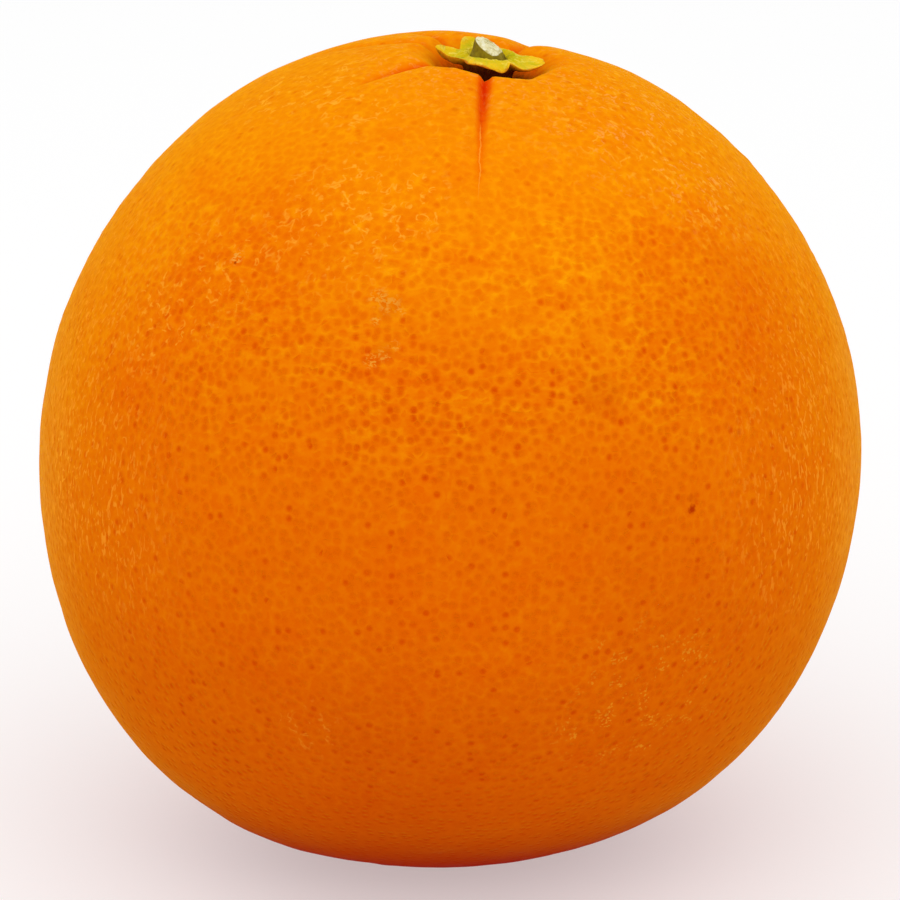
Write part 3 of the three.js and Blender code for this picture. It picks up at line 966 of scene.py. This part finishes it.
def rind_material(settings):
    """Peel with glands in its pores, wax, scratches and redder creases. Its colour also holds
    painted light and shade: darker downwards and at the foot, highlights and shade on the
    puckers, glints among the wax curls, sheen at the left and right sides, and shade in the
    creases and the dimple. It is matt, with a soft sheen that is lost at the foot.
    """
    material, recipe = new_material("orange_peel")
    skin = Skin(recipe, settings)
    colour = rind_colour(recipe, settings, skin.place, skin.height)
    colour, dots = colour_pores(recipe, skin, colour)
    colour = colour_puckers(recipe, skin, colour)
    colour = colour_wax_and_glint_curls(recipe, skin, colour)
    colour = colour_side_sheen(recipe, skin, colour)
    # Painted contact shade: darker and redder where the rind nears the floor.
    colour = recipe.tint(colour, FOOT_CONTACT_SHADE_TINT, recipe.step(skin.height, *FOOT))
    colour = colour_stem_end(recipe, skin, colour)
    colour = colour_marks(recipe, skin, colour)
    bump = recipe.bump(skin.ridge * 0.05 - skin.depth * skin.strength * 0.09, 1.0)
    finish_material(recipe, {
        "Base Color": colour,
        "Roughness": 0.42 + skin.fine * 0.12 + dots * 0.1,
        "Normal": bump,
        "Specular IOR Level": 0.001,
        "Sheen Weight": 0.29,
        "Sheen Roughness": 0.45,
        "Sheen Tint": (1.0, 0.78, 0.0),
    }, bare=recipe.step(skin.height, *SHEEN_LOST))
    return material


RIDGE_RISE = 0.10  # mm
SWELL_RISE = 0.16  # mm between the lowest and the highest of the soft swells
SKIN_DROP = 0.08  # mm by which the skin lies lower than the solid, to stay inside it
OFF_SPOT = (0.02, 0.6)  # mm above the table, between which the relief fades in


def rind_relief(recipe, place, settings):
    """The rind's swells, the ridges of its puckered belt and its pores, in mm."""
    depth, share, _, _ = pores(recipe, place, settings.pore_pitch)
    _, ridge, _ = puckers(recipe, place)
    swell = recipe.noise(place, 0.22, detail=1.0) - 0.5
    pits = depth * (0.4 + share * 0.6) * pore_strength(recipe, place) * (settings.pore_depth / MM)
    _, _, height = recipe.split(place)
    rise = ridge * RIDGE_RISE + swell * SWELL_RISE - pits - SKIN_DROP
    return rise * recipe.step(height, *OFF_SPOT)


class ORANGE_OT_rind(bpy.types.Operator):
    """Model the rind over the CAD fruit, with its pores, creases and colours"""

    bl_idname = "orange.rind"
    bl_label = "Rind"
    bl_options = {"REGISTER", "UNDO"}

    def execute(self, context):
        settings = context.scene.orange_rind
        form = merged_copy("fruit", "rind_form")
        fill_large_pits(form)
        apply_modifier(form, "SUBSURF", levels=2, render_levels=2)
        rind = quad_ball("rind_skin", settings.ball_levels)
        gather_at_stem(rind)
        apply_modifier(
            rind, "SHRINKWRAP", wrap_method="PROJECT", target=form,
            use_negative_direction=True, use_positive_direction=True,
        )
        bpy.data.objects.remove(form)
        note_places(rind)
        relief(rind, "rind_relief", lambda recipe, place: rind_relief(recipe, place, settings))
        points = points_of(rind.data)
        points[:, 2] = np.maximum(points[:, 2], 0)
        set_points(rind.data, points)
        finish_piece(rind, "fruit", rind_material(settings))
        return {"FINISHED"}


# ---------------------------------------------------------------- the calyx

BLADE_ROOT = 2.4  # mm from the stem's axis, where the sepals leave the neck
NECK_RADIUS = 2.5  # mm, a little more than the neck's
NECK_TOP = 38.7  # mm from the centre of the body, a little past where the neck ends
COLLAR = 0.45  # mm by which the sepals rise round the foot of the stem
COLLAR_REACH = 1.3  # mm
EDGE_CURL = 0.3  # mm by which the edges of the sepals wave up and down
EDGE_NICK = 0.05  # share of a sepal's reach by which its edge is ragged
# How the tips of single sepals stand: azimuth and spread in degrees, lift in mm.
TIP_LIFTS = [
    {"azimuth": 274, "spread": 38, "lift": 0.75},
    {"azimuth": 124, "spread": 24, "lift": 0.1},
]
UNDERSIDE_DROP = 0.05  # mm by which a sepal's underside is at least under its middle
UNDERSIDE_SHADE = 0.9  # how dark it is at its root
SHADE_LOSS = 0.5  # and how much less so at its tip
WAVE_SCALE = 0.6  # waves of the edge to a mm
WAVE_LAYER = 3.1  # level in the noise that the waves come from
NICK_SCALE = 3.5  # nicks to a wave
NICK_LAYER = 7.7  # level in the noise that the nicks come from
VEIN_RELIEF = 0.18  # mm


def shape_sepals(calyx, edge_share):
    """Thins the sepals towards their edge, waves and nicks the edge, and notes each place."""
    local = in_stem_frame(points_of(calyx.data))
    radius = np.hypot(local[:, 0], local[:, 1])
    azimuth = np.degrees(np.arctan2(local[:, 1], local[:, 0]))
    neck = (radius < NECK_RADIUS) & (local[:, 2] < NECK_TOP)
    spoke = np.round(azimuth, 1)
    share = np.zeros(len(local))
    for angle in np.unique(spoke):
        own = spoke == angle
        reach = radius[own].max()
        if reach > BLADE_ROOT:
            share[own] = np.clip((radius[own] - BLADE_ROOT) / (reach - BLADE_ROOT), 0, 1)
    ring = np.round(radius, 2)
    blade = share > 0
    under = np.zeros(len(local))
    for key in set(zip(spoke[blade], ring[blade])):
        level = (spoke == key[0]) & (ring == key[1]) & blade
        middle = local[level, 2].mean()
        under[level] = local[level, 2] < middle - UNDERSIDE_DROP
        keep = 1 - (1 - edge_share) * share[level]
        local[level, 2] = middle + (local[level, 2] - middle) * keep
    for lift in TIP_LIFTS:
        turn = (azimuth - lift["azimuth"] + 180) % 360 - 180
        local[:, 2] += lift["lift"] * share * np.exp(-((turn / lift["spread"]) ** 2))
    local[blade, 2] += COLLAR * np.exp(-(((radius[blade] - BLADE_ROOT) / COLLAR_REACH) ** 2))
    for i in np.nonzero(blade)[0]:
        spot = Vector(local[i]) * WAVE_SCALE
        wave = noise.noise(Vector((spot.x, spot.y, WAVE_LAYER)))
        nick = noise.noise(Vector((NICK_SCALE * spot.x, NICK_SCALE * spot.y, NICK_LAYER)))
        local[i, 2] += EDGE_CURL * wave * share[i] ** 2
        local[i, :2] *= 1 - EDGE_NICK * max(0.0, nick) * share[i] ** 3
    set_points(calyx.data, from_stem_frame(local))
    set_attribute(calyx.data, "reach", share)
    shade = under * (UNDERSIDE_SHADE - SHADE_LOSS * share)
    set_attribute(calyx.data, "shaded", np.maximum(neck, shade))


def sepal_relief(recipe, place):
    """The relief of the veins, in mm."""
    return (sepal_veins(recipe, place) - 0.5) * VEIN_RELIEF


def sepal_veins(recipe, place):
    """Fine veins and puckers of the sepals, from 0 to 1."""
    return recipe.noise(place, 1.4, detail=3.0, distortion=0.8)


GREEN_TINT = (0.72, 0.90, 0.6)
VEIN_COLOUR = (0.92, 0.74, 0.10)
FRECKLE_TINT = (0.42, 0.25, 0.25)
SHADED_COLOUR = (0.09, 0.020, 0.001)


def calyx_material(settings):
    """Yellow-green leaf with pale veins, dark freckles and dry brown edges."""
    material, recipe = new_material("sepal_leaf")
    place = recipe.place_in_mm()
    reach = recipe.attribute("reach")
    veins = sepal_veins(recipe, place)
    fine = recipe.noise(place, 6.0, detail=4.0)
    blotch = recipe.noise(place, 0.9, detail=2.0)
    outer = recipe.step(reach + (veins - 0.5) * 0.5, 0.15, 0.95)
    colour = recipe.mix(settings.blade_colour, settings.tip_colour, outer)
    colour = recipe.tint(colour, GREEN_TINT, recipe.step(blotch, 0.48, 0.62) * 0.7)
    colour = recipe.mix(colour, VEIN_COLOUR, recipe.step(veins, 0.54, 0.68) * 0.6)
    edge = recipe.step(reach + (fine - 0.5) * 0.2 + (blotch - 0.5) * 0.5, 0.9, 1.06)
    colour = recipe.mix(colour, settings.edge_colour, edge)
    freckles = recipe.step(recipe.cells(place, 0.75), 0.16, 0.06)
    colour = recipe.tint(colour, FRECKLE_TINT, freckles * 0.8)
    colour = recipe.mix(colour, SHADED_COLOUR, recipe.attribute("shaded"))
    finish_material(recipe, {
        "Base Color": colour,
        "Roughness": 0.5 + fine * 0.2,
        "Normal": recipe.bump(veins * 0.12 + fine * 0.03, 0.9),
        "Specular IOR Level": 0.06,
    })
    return material


class ORANGE_OT_calyx(bpy.types.Operator):
    """Model the calyx from the CAD calyx, with thin waved sepals"""

    bl_idname = "orange.calyx"
    bl_label = "Calyx"
    bl_options = {"REGISTER", "UNDO"}

    def execute(self, context):
        settings = context.scene.orange_calyx
        calyx = merged_copy("calyx", "calyx_leaves")
        join_to_quads(calyx)
        shape_sepals(calyx, settings.edge_share)
        apply_modifier(calyx, "SUBSURF", levels=2, render_levels=2)
        relief(calyx, "calyx_relief", sepal_relief)
        finish_piece(calyx, "calyx", calyx_material(settings))
        return {"FINISHED"}


# ---------------------------------------------------------------- the stub of stem

FIBRE_RELIEF = 0.3  # mm
RIB_RELIEF = 0.2  # mm


def stub_relief(recipe, place):
    """Fibres of the cut end and ribs of the bark, in mm."""
    cut = recipe.attribute("cut")
    fibres = recipe.noise(place, 2.6, detail=3.0, distortion=0.5)
    along = recipe.vector("MULTIPLY", place, (1.0, 1.0, 0.3))
    ribs = recipe.noise(along, 1.5, detail=2.0)
    return (fibres - 0.5) * FIBRE_RELIEF * cut + (ribs - 0.5) * RIB_RELIEF * (1 - cut)


PALE_BARK = (0.30, 0.22, 0.004)
CUT_STAIN = (0.52, 0.44, 0.13)
CUT_FIBRE = (0.88, 0.86, 0.62)
CUT_SPECK = (0.34, 0.24, 0.06)


def stub_material(settings):
    """Olive bark, and a dry, pale, stained cut end."""
    material, recipe = new_material("stem_wood")
    place = recipe.place_in_mm()
    cut = recipe.attribute("cut")
    fine = recipe.noise(place, 7.0, detail=4.0)
    fibres = recipe.noise(place, 3.0, detail=3.0, distortion=0.5)
    blotch = recipe.noise(place, 1.2, detail=2.0)
    bark = recipe.mix(settings.bark_colour, PALE_BARK, recipe.step(blotch, 0.4, 0.65))
    end = recipe.mix(settings.cut_colour, CUT_STAIN, recipe.step(blotch, 0.45, 0.62) * 0.8)
    end = recipe.mix(end, CUT_FIBRE, recipe.step(fibres, 0.46, 0.62) * 0.8)
    end = recipe.mix(end, CUT_SPECK, recipe.step(fine, 0.58, 0.68) * 0.35)
    edge = recipe.step(cut + (fine - 0.5) * 0.5, 0.3, 0.7)
    colour = recipe.mix(bark, end, edge)
    finish_material(recipe, {
        "Base Color": colour,
        "Roughness": 0.7 + fine * 0.25,
        "Normal": recipe.bump(fibres * 0.08 + fine * 0.04, 1.0),
        "Specular IOR Level": 0.2,
    })
    return material


STUB_FOOT = 0.31  # mm above the calyx's upper side, where the solid's foot stands clear
CALYX_LEVEL = 39.5  # mm from the centre of the body to the calyx's upper side
CUT_START = 0.5  # how squarely a face looks out of the cut end to belong to it
CUT_FULL = 0.75
CUT_LEAN = 0.42  # mm by which the middle of the cut sinks as it leans to the front
CUT_LEAN_AZIMUTH = math.radians(315)
CUT_SLOPE = 0.34  # rise over run of the leaning cut
CUT_DOME = 0.3  # mm by which the cut end is domed
CUT_TAPER = 0.03  # share by which the stub is narrower at its cut end than the solid
FOOT_FLARE = 0.04  # and wider at its foot
CUT_RISE = 0.5  # mm above the foot, over which the flank starts to follow the cut
STUB_RADIUS = 1.65  # mm
FLANK = (0.35, 0.65)  # mm above the calyx, between which bark gives way to cut wood


def tilt_cut(local):
    """Leans the cut end of the stub to its front and domes it. Works on points in mm."""
    radius = np.hypot(local[:, 0], local[:, 1])
    azimuth = np.arctan2(local[:, 1], local[:, 0])
    foot = CALYX_LEVEL + STUB_FOOT
    up = smooth_step(local[:, 2], foot, foot + CUT_RISE)
    lean = 1 + np.cos(azimuth - CUT_LEAN_AZIMUTH) * radius / STUB_RADIUS
    dome = 1 - (radius / STUB_RADIUS) ** 2
    local[:, 2] += up * (CUT_DOME * np.clip(dome, 0, 1) - CUT_LEAN * lean)
    local[:, :2] *= (1 + FOOT_FLARE * (1 - up) - CUT_TAPER * up)[:, None]


def note_cut(stub):
    """Stores how far each vertex belongs to the cut end rather than the flank."""
    mesh = stub.data
    normals = np.empty(3 * len(mesh.vertices))
    mesh.vertices.foreach_get("normal", normals)
    lean = Vector((math.cos(CUT_LEAN_AZIMUTH), math.sin(CUT_LEAN_AZIMUTH), 0))
    facing = (STEM_AXIS + CUT_SLOPE * lean).normalized()
    upright = normals.reshape(-1, 3) @ np.array(facing)
    height = in_stem_frame(points_of(mesh))[:, 2] - CALYX_LEVEL
    above_foot = smooth_step(height, *FLANK)
    set_attribute(mesh, "cut", smooth_step(upright, CUT_START, CUT_FULL) * above_foot)


class ORANGE_OT_stub(bpy.types.Operator):
    """Model the stub of stem from the CAD stub, with bark and a dry cut end"""

    bl_idname = "orange.stub"
    bl_label = "Stem stub"
    bl_options = {"REGISTER", "UNDO"}

    def execute(self, context):
        settings = context.scene.orange_stub
        stub = merged_copy("stem_stub", "stem_end")
        join_to_quads(stub)
        local = in_stem_frame(points_of(stub.data))
        tilt_cut(local)
        foot = local[:, 2] < CALYX_LEVEL + STUB_FOOT
        local[foot, 2] -= settings.sink / MM
        set_points(stub.data, from_stem_frame(local))
        apply_modifier(stub, "SUBSURF", levels=3, render_levels=3)
        note_cut(stub)
        relief(stub, "stub_relief", stub_relief)
        finish_piece(stub, "stem_stub", stub_material(settings))
        return {"FINISHED"}


# ---------------------------------------------------------------- the stage

LAMP_PLACE = (0, -0.45, 0.9)
LAMP_WIDTH = 1.2
FLOOR_GLOW = 0.4  # the floor is a light table
SENSOR_WIDTH = 36  # mm
FLOOR_MOTTLE = (0.99, 0.99, 0.99)


def floor_material(colour):
    """A pale, matt floor that glows a little."""
    material, recipe = new_material("pale_floor")
    place = recipe.place_in_mm()
    shade = recipe.tint(colour, FLOOR_MOTTLE, recipe.noise(place, 0.004))
    finish_material(recipe, {
        "Base Color": shade,
        "Roughness": 0.9,
        "Specular IOR Level": 0.0,
        "Emission Color": (1, 1, 1),
        "Emission Strength": FLOOR_GLOW,
    })
    return material


def light_surround(context, strength):
    """An even pale surround that lights the fruit softly from all sides."""
    world = bpy.data.worlds.new("pale_surround")
    world.use_nodes = True
    world.node_tree.nodes.clear()
    recipe = Recipe(world.node_tree)
    light = recipe.node("ShaderNodeBackground", None, {"Color": (1, 1, 1), "Strength": strength})
    recipe.node("ShaderNodeOutputWorld", None, {"Surface": light})
    context.scene.world = world


class ORANGE_OT_stage(bpy.types.Operator):
    """Set up the pale floor, the soft light and the camera"""

    bl_idname = "orange.stage"
    bl_label = "Stage"
    bl_options = {"REGISTER", "UNDO"}

    def execute(self, context):
        settings = context.scene.orange_stage
        deselect_all()
        bpy.ops.mesh.primitive_plane_add(size=settings.floor_width)
        floor = context.object
        floor.name = "floor"
        floor.data.materials.append(floor_material(settings.floor_colour))
        light_surround(context, settings.sky_strength)
        bpy.ops.object.light_add(type="AREA", location=LAMP_PLACE)
        lamp = context.object
        lamp.name = "lamp_overhead"
        lamp.data.size = LAMP_WIDTH
        lamp.data.energy = settings.lamp_power
        lamp.rotation_mode = "QUATERNION"
        lamp.rotation_quaternion = (BODY_CENTRE - Vector(LAMP_PLACE)).to_track_quat("-Z", "Y")
        tilt = settings.camera_elevation
        away = Vector((0, -math.cos(tilt), math.sin(tilt)))
        bpy.ops.object.camera_add(location=BODY_CENTRE + away * settings.camera_distance)
        camera = context.object
        camera.name = "camera"
        camera.rotation_mode = "QUATERNION"
        camera.rotation_quaternion = (-away).to_track_quat("-Z", "Y")
        camera.data.lens = settings.camera_lens
        camera.data.sensor_width = SENSOR_WIDTH
        camera.data.clip_start = 0.01
        camera.data.dof.use_dof = False
        context.scene.camera = camera
        context.scene.view_settings.view_transform = "Standard"
        return {"FINISHED"}


# ---------------------------------------------------------------- panel and registration

class ORANGE_PT_panel(bpy.types.Panel):
    """The orange's pieces and their settings"""

    bl_idname = "ORANGE_PT_panel"
    bl_label = "Whole orange"
    bl_space_type = "VIEW_3D"
    bl_region_type = "UI"
    bl_category = "Orange"

    def draw(self, context):
        for operator, settings_name in PIECES:
            box = self.layout.box()
            settings = getattr(context.scene, settings_name)
            for name in settings.__annotations__:
                box.prop(settings, name)
            box.operator(operator.bl_idname)


PIECES = [
    (ORANGE_OT_rind, "orange_rind"),
    (ORANGE_OT_calyx, "orange_calyx"),
    (ORANGE_OT_stub, "orange_stub"),
    (ORANGE_OT_stage, "orange_stage"),
]
SETTINGS = {
    "orange_rind": RindSettings,
    "orange_calyx": CalyxSettings,
    "orange_stub": StubSettings,
    "orange_stage": StageSettings,
}


def register():
    for name, group in SETTINGS.items():
        bpy.utils.register_class(group)
        setattr(bpy.types.Scene, name, PointerProperty(type=group))
    for operator, _ in PIECES:
        bpy.utils.register_class(operator)
    bpy.utils.register_class(ORANGE_PT_panel)


def unregister():
    bpy.utils.unregister_class(ORANGE_PT_panel)
    for operator, _ in reversed(PIECES):
        bpy.utils.unregister_class(operator)
    for name, group in SETTINGS.items():
        delattr(bpy.types.Scene, name)
        bpy.utils.unregister_class(group)


def main():
    register()
    bpy.ops.orange.rind()
    bpy.ops.orange.calyx()
    bpy.ops.orange.stub()
    bpy.ops.orange.stage()


if __name__ == "__main__":
    main()
